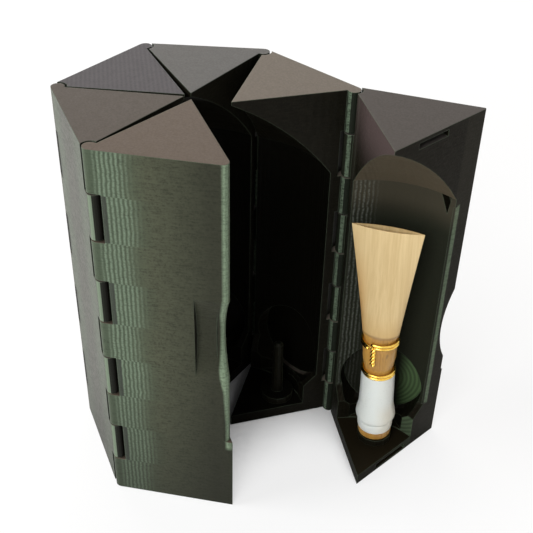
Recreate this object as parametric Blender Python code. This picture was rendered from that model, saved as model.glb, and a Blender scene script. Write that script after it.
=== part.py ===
"""Folding reed case: six hollow wedge segments on five barrel hinges, shut by magnets, with one reed in it.

Closed, the case is a six-sided prism. The rear left segment stays put, and two chains of segments fold away
from it, one round each side. Each segment is built in its own frame: the closed case's axis is its Z axis,
its outer wall lies towards +Y, and the hinge shared with the next segment clockwise lies towards +X.
"""

import math

import bmesh
import bpy

MM = 0.001

# Case
SIDE = 26.0 * MM
HEIGHT = 84.4 * MM
PLAY = 0.3 * MM
WALL = 1.72 * MM
FLOOR = 2.7 * MM
ROOF = 0.6 * MM
FOOT_WIDTH = 3.0 * MM
FOOT_HEIGHT = 8.1 * MM
DOME_RADIUS = 54.5 * MM
DOME_OFFSET = 23.6 * MM

# Round pocket in the wall behind the reed's binding, and the clear round cup under it
POCKET_RADIUS = 9.4 * MM
POCKET_WALL = 0.9 * MM
POCKET_LEVEL = 14.0 * MM
CUP_RADIUS = 7.1 * MM
CUP_LEDGE = 0.25 * MM

# Barrel hinges
KNUCKLE_RADIUS = 1.35 * MM
KNUCKLES = 5
WINDOW = 9.9 * MM
KNUCKLE_PLAY = 0.35 * MM
WINDOW_RADIUS = 2.2 * MM
NOTCH_RADIUS = 1.78 * MM
PIN_RADIUS = 0.55 * MM
PIN_CLEARANCE = 0.3 * MM
PIN_RECESS = 0.6 * MM
PIN_CAP = 1.5 * MM

# Free edges: finger scoops, rounded edge, the lip of the hollow and the small pit above the lip
SCOOP_DEPTH = 2.3 * MM
SCOOP_SKIN = 0.7 * MM
SCOOP_HALF_HEIGHT = 9.5 * MM
SCOOP_START = 5.5 * MM
LEFT_SCOOP_LEVEL = 45.8 * MM
RIGHT_SCOOP_LEVEL = 32.6 * MM
LEFT_EDGE_ROUND = 1.1 * MM
RIGHT_EDGE_ROUND = 0.3 * MM
EDGE_ROUND_LOW = 19.1 * MM
LIP_WIDTH = 1.3 * MM
LIP_DEPTH = 0.4 * MM
PIT_NEAR = 1.1 * MM
PIT_WIDTH = 2.3 * MM
PIT_TIP_PART = 4
PIT_HEIGHT = 4.0 * MM
PIT_DEPTH = 1.8 * MM

# Magnets and their slots
MAGNET_THICKNESS = 0.7 * MM
MAGNET_DEPTH = 2.8 * MM
MAGNET_RECESS = 1.1 * MM
SLOT_GAP = 0.3 * MM
TOP_SLOT_SKIN = 0.75 * MM
TOP_MAGNET_LENGTH = 7.4 * MM
TOP_MAGNET_NEAR = 7.15 * MM
BOTTOM_SLOT_SKIN = 0.5 * MM
BOTTOM_MAGNET_LENGTH = 8.7 * MM
BOTTOM_MAGNET_NEAR = 6.75 * MM

# Reed pegs
PEG_REACH = 13.3 * MM
RIGHT_WING_PEG_ASIDE = 2.3 * MM
RIGHT_DOOR_PEG_ASIDE = 0.55 * MM
PEG_TOP = 19.1 * MM
PEG_RADIUS = 1.4 * MM
PEG_TIP_RADIUS = 1.1 * MM
PEG_TIP_ROUND = 0.5 * MM
FLANGE_RADIUS = 3.9 * MM
FLANGE_THICKNESS = 1.6 * MM
SPIGOT_RADIUS = 1.2 * MM
SOCKET_SKIN = 0.5 * MM
SEAT_GAP = 0.3 * MM

# Reed, measured upwards from its butt
REED_LENGTH = 55.2 * MM
BUTT_RADIUS = 3.75 * MM
BORE_RADIUS = 1.9 * MM
TUBE_HALF_WIDTH = 3.7 * MM
TUBE_HALF_DEPTH = 3.4 * MM
SHOULDER_LEVEL = 29.0 * MM
SHOULDER_HALF_WIDTH = 4.0 * MM
SHOULDER_HALF_DEPTH = 3.0 * MM
TIP_HALF_WIDTH = 7.3 * MM
TIP_HALF_DEPTH = 0.95 * MM
TIP_EDGE = 0.45 * MM
FLARE_POWER = 1.05
TAPER_POWER = 0.7

# Binding and wires on the reed
SLEEVE_SEAT_RADIUS = 3.0 * MM
SLEEVE_LOW = 1.75 * MM
SLEEVE_HIGH = 17.3 * MM
SLEEVE_FOOT_RADIUS = 3.85 * MM
SLEEVE_BALL_RADIUS = 4.42 * MM
SLEEVE_TOP_RADIUS = 3.65 * MM
WIRE_RADIUS = 0.32 * MM
WIRE_PITCH = 1.1 * MM
WIRE_TURNS = 2
SECOND_WIRE_SEAT = 2.75 * MM
SECOND_WIRE_START = 70
FIRST_WIRE_DROP = 1.25 * MM
FIRST_WIRE_HALF_WIDTH = 3.06 * MM
FIRST_WIRE_HALF_DEPTH = 2.7 * MM
FIRST_WIRE_START = -100
TAIL_DROP = 2.8 * MM
TAIL_LIFT = 0.7 * MM

# The frame's origin lies under the rear left segment, this far out from the closed case's axis
BASE_POINT = 15.0 * MM

# How far each hinge stands open at rest, and how the reed leans sideways and inwards, in degrees
OPEN_LEFT_DOOR = 3.7
OPEN_LEFT_WING = 1.2
OPEN_REAR_RIGHT = 2.2
OPEN_RIGHT_WING = 19.3
OPEN_RIGHT_DOOR = 85.9
REED_LEAN = 2.15
REED_BOW = 0.4

# Facet counts and the overrun of all cuts
OVERRUN = 1.0 * MM
CAVITY_STEPS = 12
DOME_STEPS = 8
RELIEF_STEPS = 20
KNUCKLE_STEPS = 12
BORE_STEPS = 10
PEG_STEPS = 12
ROUND_STEPS = 4
SCOOP_STEPS = 12
POCKET_STEPS = 32
CUP_STEPS = 24
REED_STEPS = 20
WIRE_STEPS = 24

# Worked out from the values above
SECTOR = math.radians(60)
HALF_SECTOR = SECTOR / 2
WALL_PLANE = SIDE * math.cos(HALF_SECTOR)
CAVITY_RADIUS = WALL_PLANE - WALL
FOOT_RADIUS = CAVITY_RADIUS - FOOT_WIDTH
HINGE_REACH = SIDE - KNUCKLE_RADIUS / math.cos(HALF_SECTOR)
PIN_BORE_RADIUS = PIN_RADIUS + PIN_CLEARANCE
SLOT_HEIGHT = MAGNET_THICKNESS + 2 * SLOT_GAP
SCOOP_INNER_WALL = WALL_PLANE - math.sqrt(CAVITY_RADIUS ** 2 - SCOOP_START ** 2)
SCOOP_INNER_DEPTH = min(SCOOP_DEPTH, SCOOP_INNER_WALL - SCOOP_SKIN)
FIRST_WIRE_LEVEL = SHOULDER_LEVEL - FIRST_WIRE_DROP
SECOND_WIRE_LEVEL = SLEEVE_HIGH + SEAT_GAP + WIRE_RADIUS + WIRE_TURNS * WIRE_PITCH
REED_FOOT = FLOOR + SEAT_GAP + FLANGE_THICKNESS + SEAT_GAP

GREEN = (0.020, 0.032, 0.022)
PEG_GREEN = (0.030, 0.060, 0.038)
STEEL = (0.45, 0.45, 0.46)
MAGNET_GREY = (0.30, 0.30, 0.31)
CANE = (0.72, 0.50, 0.24)
BRASS = (0.83, 0.55, 0.10)
WHITE = (0.86, 0.85, 0.81)


def clear_scene():
    for obj in list(bpy.data.objects):
        bpy.data.objects.remove(obj, do_unlink=True)


def add_material(obj, colour, roughness, metallic=0.0):
    """Each piece gets a material of its own, named after it."""
    material = bpy.data.materials.new(obj.name)
    material.use_nodes = True
    shader = material.node_tree.nodes["Principled BSDF"]
    shader.inputs["Base Color"].default_value = (*colour, 1.0)
    shader.inputs["Roughness"].default_value = roughness
    shader.inputs["Metallic"].default_value = metallic
    obj.data.materials.clear()
    obj.data.materials.append(material)


def smooth(obj, degrees=30):
    obj.data.shade_smooth()
    obj.data.set_sharp_from_angle(angle=math.radians(degrees))


def add_empty(name, location, parent=None, turn=0.0):
    empty = bpy.data.objects.new(name, None)
    bpy.context.scene.collection.objects.link(empty)
    empty.empty_display_size = KNUCKLE_RADIUS
    empty.location = location
    empty.rotation_euler.z = turn
    empty.parent = parent
    return empty


def add_solid(name, lofts, closed=False):
    """One object from one or more lofts. A loft is a list of rings, and each ring a list of points.

    An open loft is capped at both ends. A closed one runs round to its first ring again.
    """
    bm = bmesh.new()
    for rings in lofts:
        loops = [[bm.verts.new(point) for point in ring] for ring in rings]
        pairs = list(zip(loops, loops[1:]))
        if closed:
            pairs.append((loops[-1], loops[0]))
        else:
            bm.faces.new(loops[0])
            bm.faces.new(loops[-1])
        for lower, upper in pairs:
            count = len(lower)
            for i in range(count):
                j = (i + 1) % count
                bm.faces.new((lower[i], lower[j], upper[j], upper[i]))
    bmesh.ops.recalc_face_normals(bm, faces=bm.faces[:])
    mesh = bpy.data.meshes.new(name)
    bm.to_mesh(mesh)
    bm.free()
    obj = bpy.data.objects.new(name, mesh)
    bpy.context.scene.collection.objects.link(obj)
    return obj


def standing(outline, low, high):
    """The two rings of a straight prism that stands on an outline in plan."""
    return [[(x, y, z) for x, y in outline] for z in (low, high)]


def cut(target, tool):
    """Cuts the tool from the target and removes the tool."""
    modifier = target.modifiers.new(tool.name, "BOOLEAN")
    modifier.operation = "DIFFERENCE"
    modifier.solver = "EXACT"
    modifier.object = tool
    bpy.context.view_layer.update()
    depsgraph = bpy.context.evaluated_depsgraph_get()
    result = bpy.data.meshes.new_from_object(target.evaluated_get(depsgraph))
    target.modifiers.clear()
    before = target.data
    target.data = result
    bpy.data.meshes.remove(before)
    bpy.data.objects.remove(tool)


def circle(centre, radius, steps):
    """Points half a step away from both axes, so that no corner of a cut falls on a plane of symmetry."""
    start = math.pi / steps
    return arc(centre, radius, start, start + 2 * math.pi, steps)[:-1]


def arc(centre, radius, start, end, steps):
    angles = [start + (end - start) * i / steps for i in range(steps + 1)]
    return [(centre[0] + radius * math.cos(a), centre[1] + radius * math.sin(a)) for a in angles]


def side_point(side, along, depth):
    """Point in plan, given its distance along a dividing plane from the axis and its depth from it."""
    x = along * math.sin(HALF_SECTOR) - depth * math.cos(HALF_SECTOR)
    y = along * math.cos(HALF_SECTOR) + depth * math.sin(HALF_SECTOR)
    return (side * x, y)


def corner_reach(wall_depth):
    """How far along its side face a segment reaches, where its outer wall lies this deep."""
    return (WALL_PLANE - wall_depth - PLAY / 2 * math.sin(HALF_SECTOR)) / math.cos(HALF_SECTOR)


def hinge_axis(side):
    return side_point(side, HINGE_REACH, 0.0)


def knuckle_pitch():
    """Height of one knuckle of the five and one window beside it."""
    return (HEIGHT - (KNUCKLES - 1) * WINDOW) / KNUCKLES + WINDOW


def window_spans():
    first = knuckle_pitch() - WINDOW
    lows = [first + i * knuckle_pitch() for i in range(KNUCKLES - 1)]
    return [(low, low + WINDOW) for low in lows]


def notch_spans():
    """Heights between the windows, with both ends run past the segment."""
    edges = [-OVERRUN]
    for low, high in window_spans():
        edges += [low, high]
    edges.append(HEIGHT + OVERRUN)
    return list(zip(edges[0::2], edges[1::2]))


def outline_half(side, hinged):
    """One half of a segment's plan, from near the case's axis round to the outer wall."""
    if not hinged:
        return [side_point(side, corner_reach(0.0), PLAY / 2)]
    start = math.pi + SECTOR - math.asin(PLAY / 2 / KNUCKLE_RADIUS)
    swing = arc(hinge_axis(1), KNUCKLE_RADIUS, start, 2.5 * math.pi, KNUCKLE_STEPS)
    return [(side * x, y) for x, y in swing]


def blank(right_hinged, left_hinged):
    """A segment before any cut: a wedge that ends in a full-height barrel on each hinged side."""
    apex = (0.0, PLAY / 2 / math.sin(HALF_SECTOR))
    left = outline_half(-1, left_hinged)
    outline = [apex, *outline_half(1, right_hinged), *reversed(left)]
    return add_solid("blank", [standing(outline, 0.0, HEIGHT)])


def dome_height(radius):
    """The hollow's ceiling is an arc turned about the case's axis, with its centre beyond that axis."""
    centre = HEIGHT - ROOF - math.sqrt(DOME_RADIUS ** 2 - DOME_OFFSET ** 2)
    return centre + math.sqrt(DOME_RADIUS ** 2 - (radius + DOME_OFFSET) ** 2)


def hollow():
    """The round hollow that the closed segments share, as a wedge that overruns one segment's sides."""
    profile = [
        (FOOT_RADIUS, FLOOR),
        (FOOT_RADIUS, FOOT_HEIGHT),
        (CAVITY_RADIUS, FOOT_HEIGHT + FOOT_WIDTH),
    ]
    for i in range(DOME_STEPS):
        radius = CAVITY_RADIUS * (1 - i / DOME_STEPS)
        profile.append((radius, dome_height(radius)))
    half_angle = HALF_SECTOR * (1 + 1 / CAVITY_STEPS)
    bm = bmesh.new()
    foot = bm.verts.new((0.0, 0.0, FLOOR))
    crown = bm.verts.new((0.0, 0.0, dome_height(0.0)))
    columns = []
    for i in range(CAVITY_STEPS + 1):
        angle = half_angle * (2 * i / CAVITY_STEPS - 1)
        points = [(r * math.sin(angle), r * math.cos(angle), z) for r, z in profile]
        columns.append([bm.verts.new(point) for point in points])
    bm.faces.new([foot, *[column[0] for column in columns]])
    for near, far in zip(columns, columns[1:]):
        bm.faces.new((crown, near[-1], far[-1]))
        for i in range(len(profile) - 1):
            bm.faces.new((near[i], far[i], far[i + 1], near[i + 1]))
    bm.faces.new([foot, *columns[0], crown])
    bm.faces.new([foot, *columns[-1], crown])
    bmesh.ops.recalc_face_normals(bm, faces=bm.faces[:])
    mesh = bpy.data.meshes.new("hollow")
    bm.to_mesh(mesh)
    bm.free()
    obj = bpy.data.objects.new("hollow", mesh)
    bpy.context.scene.collection.objects.link(obj)
    return obj


def pocket():
    """Round recess in the wall, flat at the back, which leaves a thin skin of outer wall."""
    outline = circle((0.0, POCKET_LEVEL), POCKET_RADIUS, POCKET_STEPS)
    rings = [[(x, y, z) for x, z in outline] for y in (PEG_REACH, WALL_PLANE - POCKET_WALL)]
    return add_solid("pocket", [rings])


def cup():
    outline = circle((0.0, PEG_REACH), CUP_RADIUS, CUP_STEPS)
    return add_solid("cup", [standing(outline, FLOOR + CUP_LEDGE, POCKET_LEVEL)])


def socket(aside):
    outline = circle((aside, PEG_REACH), SPIGOT_RADIUS + SEAT_GAP, PEG_STEPS)
    return add_solid("socket", [standing(outline, SOCKET_SKIN, FLOOR + OVERRUN)])


def windows(side):
    """Cuts between the five knuckles, wide enough for the neighbour's four to swing in."""
    outline = circle(hinge_axis(side), WINDOW_RADIUS, RELIEF_STEPS)
    half_play = KNUCKLE_PLAY / 2
    lofts = [standing(outline, low - half_play, high + half_play) for low, high in window_spans()]
    return add_solid("windows", lofts)


def notches(side):
    """Cuts above, below and between the four knuckles, for the neighbour's five."""
    outline = circle(hinge_axis(side), NOTCH_RADIUS, RELIEF_STEPS)
    half_play = KNUCKLE_PLAY / 2
    lofts = [standing(outline, low - half_play, high + half_play) for low, high in notch_spans()]
    return add_solid("notches", lofts)


def pin_bore(side, top):
    outline = circle(hinge_axis(side), PIN_BORE_RADIUS, BORE_STEPS)
    return add_solid("pin_bore", [standing(outline, -OVERRUN, top)])


def scoop_depth(z, level, deepest=SCOOP_DEPTH):
    """Depth of a finger scoop below the outer wall at a height, zero above and below it."""
    away = abs(z - level)
    if away >= SCOOP_HALF_HEIGHT:
        return 0.0
    radius = (SCOOP_HALF_HEIGHT ** 2 + deepest ** 2) / (2 * deepest)
    return deepest - radius + math.sqrt(radius ** 2 - away ** 2)


def scoop_levels(level):
    """Heights at which the scoop's arc has its facets."""
    return [level + SCOOP_HALF_HEIGHT * (2 * i / SCOOP_STEPS - 1) for i in range(SCOOP_STEPS + 1)]


def scoop(side, level):
    """A cut with a round floor, from a straight end wall out past the free edge.

    It is less deep at the end wall, where the hollow behind it lies nearer.
    """
    slope = (SCOOP_DEPTH - SCOOP_INNER_DEPTH) / (SIDE / 2 - SCOOP_START)
    outer_depth = SCOOP_DEPTH + slope * OVERRUN
    rings = []
    for x, deepest in ((SCOOP_START, SCOOP_INNER_DEPTH), (SIDE / 2 + OVERRUN, outer_depth)):
        section = [(WALL_PLANE - scoop_depth(z, level, deepest), z) for z in scoop_levels(level)]
        section.append((WALL_PLANE + OVERRUN, level + SCOOP_HALF_HEIGHT))
        section.append((WALL_PLANE + OVERRUN, level - SCOOP_HALF_HEIGHT))
        rings.append([(side * x, y, z) for y, z in section])
    return add_solid("scoop", [rings])


def edge_round_ring(side, z, depth, radius):
    """Section of the cut that rounds the free edge, where the outer wall lies at this depth."""
    edge = side_point(1, corner_reach(depth), PLAY / 2)
    centre_back = radius / math.sin(HALF_SECTOR)
    bisector = math.pi + HALF_SECTOR
    centre = (edge[0] + centre_back * math.cos(bisector), edge[1] + centre_back * math.sin(bisector))
    swing = arc(centre, radius, -HALF_SECTOR, math.pi / 2, ROUND_STEPS)
    first, second = swing[0], swing[1]
    last, before = swing[-1], swing[-2]
    reach = OVERRUN / radius
    start = (first[0] + reach * (first[0] - second[0]), first[1] + reach * (first[1] - second[1]))
    finish = (last[0] + reach * (last[0] - before[0]), last[1] + reach * (last[1] - before[1]))
    outside = (edge[0] + 2 * OVERRUN, edge[1] + 2 * OVERRUN)
    outline = [start, *swing[1:-1], finish, outside]
    return [(side * x, y, z) for x, y in outline]


def edge_round(side, level, radius):
    """Rounding of the free edge, which follows the scoop's floor."""
    heights = [EDGE_ROUND_LOW, *scoop_levels(level), HEIGHT + OVERRUN]
    rings = [edge_round_ring(side, z, scoop_depth(z, level), radius) for z in heights]
    return add_solid("edge_round", [rings])


def lip(side):
    """Chamfer where the hollow meets the free side face, wide on the face and narrow in the hollow."""
    outer = side_point(side, CAVITY_RADIUS + 2 * LIP_WIDTH, PLAY / 2 - LIP_DEPTH)
    inner = side_point(side, CAVITY_RADIUS - LIP_WIDTH, PLAY / 2 + 2 * LIP_DEPTH)
    back = side_point(side, CAVITY_RADIUS - LIP_WIDTH, PLAY / 2 - LIP_DEPTH)
    low = FOOT_HEIGHT + FOOT_WIDTH
    return add_solid("lip", [standing([outer, inner, back], low, dome_height(CAVITY_RADIUS + LIP_WIDTH))])


def pit(side):
    """Three-cornered pit in the hollow's wall, under the dome's foot and close to the free side face."""
    near = PLAY / 2 + PIT_NEAR
    high = dome_height(CAVITY_RADIUS)
    corners = ((near, high), (near + PIT_WIDTH, high), (near + PIT_WIDTH / PIT_TIP_PART, high - PIT_HEIGHT))
    rings = []
    for radius in (CAVITY_RADIUS - PIT_DEPTH, CAVITY_RADIUS + PIT_DEPTH):
        ring = []
        for depth, z in corners:
            ring.append((*side_point(side, math.sqrt(radius ** 2 - depth ** 2), depth), z))
        rings.append(ring)
    return add_solid("pit", [rings])


def slab_outline(side, near, length, shallow, deep):
    """Plan of a block that lies along a side face, between two depths."""
    reach = near + length
    spots = ((near, shallow), (reach, shallow), (reach, deep), (near, deep))
    return [side_point(side, along, PLAY / 2 + depth) for along, depth in spots]


def magnet_spots():
    """Name, nearest reach, length and lowest level of the magnets in one free face."""
    top_level = HEIGHT - TOP_SLOT_SKIN - SLOT_GAP - MAGNET_THICKNESS
    return (
        ("top", TOP_MAGNET_NEAR, TOP_MAGNET_LENGTH, top_level),
        ("bottom", BOTTOM_MAGNET_NEAR, BOTTOM_MAGNET_LENGTH, BOTTOM_SLOT_SKIN + SLOT_GAP),
    )


def magnet_slots(side):
    lofts = []
    deep = MAGNET_RECESS + MAGNET_DEPTH + SLOT_GAP
    for _, near, length, level in magnet_spots():
        outline = slab_outline(side, near - SLOT_GAP, length + 2 * SLOT_GAP, -OVERRUN, deep)
        lofts.append(standing(outline, level - SLOT_GAP, level - SLOT_GAP + SLOT_HEIGHT))
    return add_solid("magnet_slots", lofts)


def add_magnets(prefix, side):
    magnets = []
    for place, near, length, level in magnet_spots():
        outline = slab_outline(side, near, length, MAGNET_RECESS, MAGNET_RECESS + MAGNET_DEPTH)
        loft = standing(outline, level, level + MAGNET_THICKNESS)
        magnet = add_solid(prefix + "_" + place + "_magnet", [loft])
        add_material(magnet, MAGNET_GREY, 0.35, 0.9)
        magnets.append(magnet)
    return magnets


def add_shell(name, right_hinged, left_hinged, scoop_level, peg_aside):
    """One segment. A side without a hinge is free, with its scoop, rounded edge, lip, pit and slots."""
    shell = blank(right_hinged, left_hinged)
    shell.name = name
    for tool in (hollow(), pocket(), cup(), socket(peg_aside)):
        cut(shell, tool)
    if right_hinged:
        cut(shell, windows(1))
        cut(shell, pin_bore(1, HEIGHT - PIN_CAP))
    if left_hinged:
        cut(shell, notches(-1))
        cut(shell, pin_bore(-1, HEIGHT - PIN_CAP))
    for side, hinged in ((1, right_hinged), (-1, left_hinged)):
        if not hinged:
            radius = RIGHT_EDGE_ROUND if side > 0 else LEFT_EDGE_ROUND
            edge_cuts = (scoop(side, scoop_level), edge_round(side, scoop_level, radius))
            for tool in (lip(side), pit(side), *edge_cuts, magnet_slots(side)):
                cut(shell, tool)
    smooth(shell)
    add_material(shell, GREEN, 0.42)
    return shell


def add_pin(name):
    outline = circle(hinge_axis(1), PIN_RADIUS, BORE_STEPS)
    pin = add_solid(name, [standing(outline, PIN_RECESS, HEIGHT - PIN_CAP - PIN_CLEARANCE)])
    smooth(pin)
    add_material(pin, STEEL, 0.3, 1.0)
    return pin


def add_peg(name, aside):
    """Peg with a flange that sits on the floor and a spigot in the floor's socket."""
    flange_low = FLOOR + SEAT_GAP
    flange_high = flange_low + FLANGE_THICKNESS
    profile = (
        (SPIGOT_RADIUS, SOCKET_SKIN + SEAT_GAP),
        (SPIGOT_RADIUS, flange_low),
        (FLANGE_RADIUS, flange_low),
        (FLANGE_RADIUS, flange_high),
        (PEG_RADIUS, flange_high),
        (PEG_TIP_RADIUS, PEG_TOP - PEG_TIP_ROUND),
        (PEG_TIP_RADIUS - PEG_TIP_ROUND, PEG_TOP),
    )
    rings = [[(x, y, z) for x, y in circle((aside, PEG_REACH), radius, PEG_STEPS)] for radius, z in profile]
    peg = add_solid(name, [rings])
    smooth(peg)
    add_material(peg, PEG_GREEN, 0.4)
    return peg


def ellipse(half_width, half_depth, z):
    angles = [2 * math.pi * i / REED_STEPS for i in range(REED_STEPS)]
    return [(half_width * math.cos(a), half_depth * math.sin(a), z) for a in angles]


def ease(share):
    """Smooth step from 0 to 1."""
    return share * share * (3 - 2 * share)


def blade_section(share):
    """Half width, half depth and height of the blades, from the shoulder at 0 to the tip at 1."""
    half_width = SHOULDER_HALF_WIDTH + (TIP_HALF_WIDTH - SHOULDER_HALF_WIDTH) * share ** FLARE_POWER
    half_depth = SHOULDER_HALF_DEPTH + (TIP_HALF_DEPTH - SHOULDER_HALF_DEPTH) * share ** TAPER_POWER
    return (half_width, half_depth, SHOULDER_LEVEL + (REED_LENGTH - SHOULDER_LEVEL) * share)


def slot_section(share):
    """The space between the blades, round at the shoulder and a slit at the tip."""
    half_width, half_depth, z = blade_section(share)
    flat = ease(share)
    inner_width = BORE_RADIUS + (half_width - 2 * TIP_EDGE - BORE_RADIUS) * flat
    inner_depth = BORE_RADIUS + (half_depth - TIP_EDGE - BORE_RADIUS) * flat
    return (inner_width, min(inner_depth, half_depth - TIP_EDGE), z)


def add_cane():
    """Tube and blades in one: round at the butt, drawn in under binding and wires, flat at the tip."""
    butt_high = SLEEVE_LOW - SEAT_GAP
    second_low = SLEEVE_HIGH
    second_high = SECOND_WIRE_LEVEL + WIRE_RADIUS
    first_low = FIRST_WIRE_LEVEL - WIRE_TURNS * WIRE_PITCH - WIRE_RADIUS
    first_high = FIRST_WIRE_LEVEL + WIRE_RADIUS
    sections = [
        (BUTT_RADIUS, BUTT_RADIUS, 0.0),
        (BUTT_RADIUS, BUTT_RADIUS, butt_high),
        (SLEEVE_SEAT_RADIUS, SLEEVE_SEAT_RADIUS, butt_high),
        (SLEEVE_SEAT_RADIUS, SLEEVE_SEAT_RADIUS, second_low),
        (SECOND_WIRE_SEAT, SECOND_WIRE_SEAT, second_low),
        (SECOND_WIRE_SEAT, SECOND_WIRE_SEAT, second_high),
        (TUBE_HALF_WIDTH, TUBE_HALF_DEPTH, second_high + WIRE_PITCH),
        (TUBE_HALF_WIDTH, TUBE_HALF_DEPTH, first_low - WIRE_PITCH),
        (FIRST_WIRE_HALF_WIDTH, FIRST_WIRE_HALF_DEPTH, first_low),
        (FIRST_WIRE_HALF_WIDTH, FIRST_WIRE_HALF_DEPTH, first_high),
    ]
    blade_shares = (0.0, 0.2, 0.4, 0.6, 0.8, 1.0)
    sections += [blade_section(share) for share in blade_shares]
    sections += [slot_section(share) for share in reversed(blade_shares)]
    sections.append((BORE_RADIUS, BORE_RADIUS, 0.0))
    cane = add_solid("reed_cane", [[ellipse(*section) for section in sections]], closed=True)
    smooth(cane, 40)
    add_material(cane, CANE, 0.55)
    return cane


def add_sleeve():
    """Binding round the lower tube: a foot band, a bead above its groove, and a narrowing cone."""
    swell_shares = (
        (0.0, 0.0), (0.02, 0.16), (0.12, 0.16), (0.155, 0.04), (0.18, 0.55),
        (0.225, 1.0), (0.265, 0.8), (0.32, 0.3), (0.38, 0.04),
    )
    outer = []
    for height_share, swell_share in swell_shares:
        radius = SLEEVE_FOOT_RADIUS + (SLEEVE_BALL_RADIUS - SLEEVE_FOOT_RADIUS) * swell_share
        outer.append((radius, SLEEVE_LOW + (SLEEVE_HIGH - SLEEVE_LOW) * height_share))
    inner = SLEEVE_SEAT_RADIUS + SEAT_GAP
    sections = outer + [(SLEEVE_TOP_RADIUS, SLEEVE_HIGH), (inner, SLEEVE_HIGH), (inner, SLEEVE_LOW)]
    sleeve = add_solid("reed_sleeve", [[ellipse(radius, radius, z) for radius, z in sections]], closed=True)
    smooth(sleeve, 50)
    add_material(sleeve, WHITE, 0.35)
    return sleeve


def winding(half_width, half_depth, top, start):
    """Points of a wire that winds down round an oval, a small gap clear of it."""
    out = SEAT_GAP + WIRE_RADIUS
    points = []
    for i in range(WIRE_TURNS * WIRE_STEPS + 1):
        turns = i / WIRE_STEPS
        angle = start + 2 * math.pi * turns
        x = (half_width + out) * math.cos(angle)
        y = (half_depth + out) * math.sin(angle)
        points.append((x, y, top - WIRE_PITCH * turns))
    return points


def least_self_gap(points):
    """Least distance between stretches of one wire, measured on points along it, less its thickness."""
    spaced = []
    for a, b in zip(points, points[1:]):
        spaced += [[p + (q - p) * k / 4 for p, q in zip(a, b)] for k in range(4)]
    lengths = [0.0]
    for a, b in zip(spaced, spaced[1:]):
        lengths.append(lengths[-1] + math.dist(a, b))
    least = math.inf
    for i, a in enumerate(spaced):
        for j in range(i + 1, len(spaced)):
            if lengths[j] - lengths[i] > math.pi * SECOND_WIRE_SEAT:
                least = min(least, math.dist(a, spaced[j]))
    return least - 2 * WIRE_RADIUS


def add_wire(name, points):
    """One unbroken wire through the points."""
    curve = bpy.data.curves.new(name, "CURVE")
    curve.dimensions = "3D"
    curve.bevel_depth = WIRE_RADIUS
    curve.bevel_resolution = 1
    curve.use_fill_caps = True
    spline = curve.splines.new("POLY")
    spline.points.add(len(points) - 1)
    for spot, point in zip(spline.points, points):
        spot.co = (*point, 1.0)
    wire = bpy.data.objects.new(name, curve)
    bpy.context.scene.collection.objects.link(wire)
    add_material(wire, BRASS, 0.25, 1.0)
    print(name, "least gap to itself, in mm:", round(least_self_gap(points) / MM, 3))
    return wire


def add_first_wire():
    """Two turns below the shoulder, with the end bent out and down as a tail."""
    start = math.radians(FIRST_WIRE_START)
    turns = winding(FIRST_WIRE_HALF_WIDTH, FIRST_WIRE_HALF_DEPTH, FIRST_WIRE_LEVEL, start)
    out = SEAT_GAP + WIRE_RADIUS + TAIL_LIFT
    x = (FIRST_WIRE_HALF_WIDTH + out) * math.cos(start)
    y = (FIRST_WIRE_HALF_DEPTH + out) * math.sin(start)
    low = FIRST_WIRE_LEVEL - WIRE_TURNS * WIRE_PITCH
    drop_shares = (0.35, 1.0)
    tail = [(x, y, low - TAIL_DROP * share) for share in drop_shares]
    return add_wire("reed_first_wire", turns + tail)


def add_second_wire():
    start = math.radians(SECOND_WIRE_START)
    turns = winding(SECOND_WIRE_SEAT, SECOND_WIRE_SEAT, SECOND_WIRE_LEVEL, start)
    return add_wire("reed_second_wire", turns)


def place(objects, parent, location, turn=0.0):
    for obj in objects:
        obj.parent = parent
        obj.location = location
        obj.rotation_euler.z = turn


def closed_hinge(degrees):
    """Plan position of a hinge axis of the closed case, from the case's axis."""
    angle = math.radians(degrees)
    return (HINGE_REACH * math.cos(angle), HINGE_REACH * math.sin(angle), 0.0)


def offset(start, end):
    return tuple(b - a for a, b in zip(start, end))


def build_reed(parent, location, turn):
    """The reed leans a little on its peg, and its own empty lies on the axis that it lifts along."""
    seat = add_empty("right_door_seat", location, parent, turn)
    axis = add_empty("reed_axis", (RIGHT_DOOR_PEG_ASIDE, PEG_REACH, REED_FOOT), seat)
    axis.rotation_euler = (math.radians(REED_BOW), -math.radians(REED_LEAN), 0.0)
    place([add_cane(), add_sleeve(), add_first_wire(), add_second_wire()], axis, (0.0, 0.0, 0.0))


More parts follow.
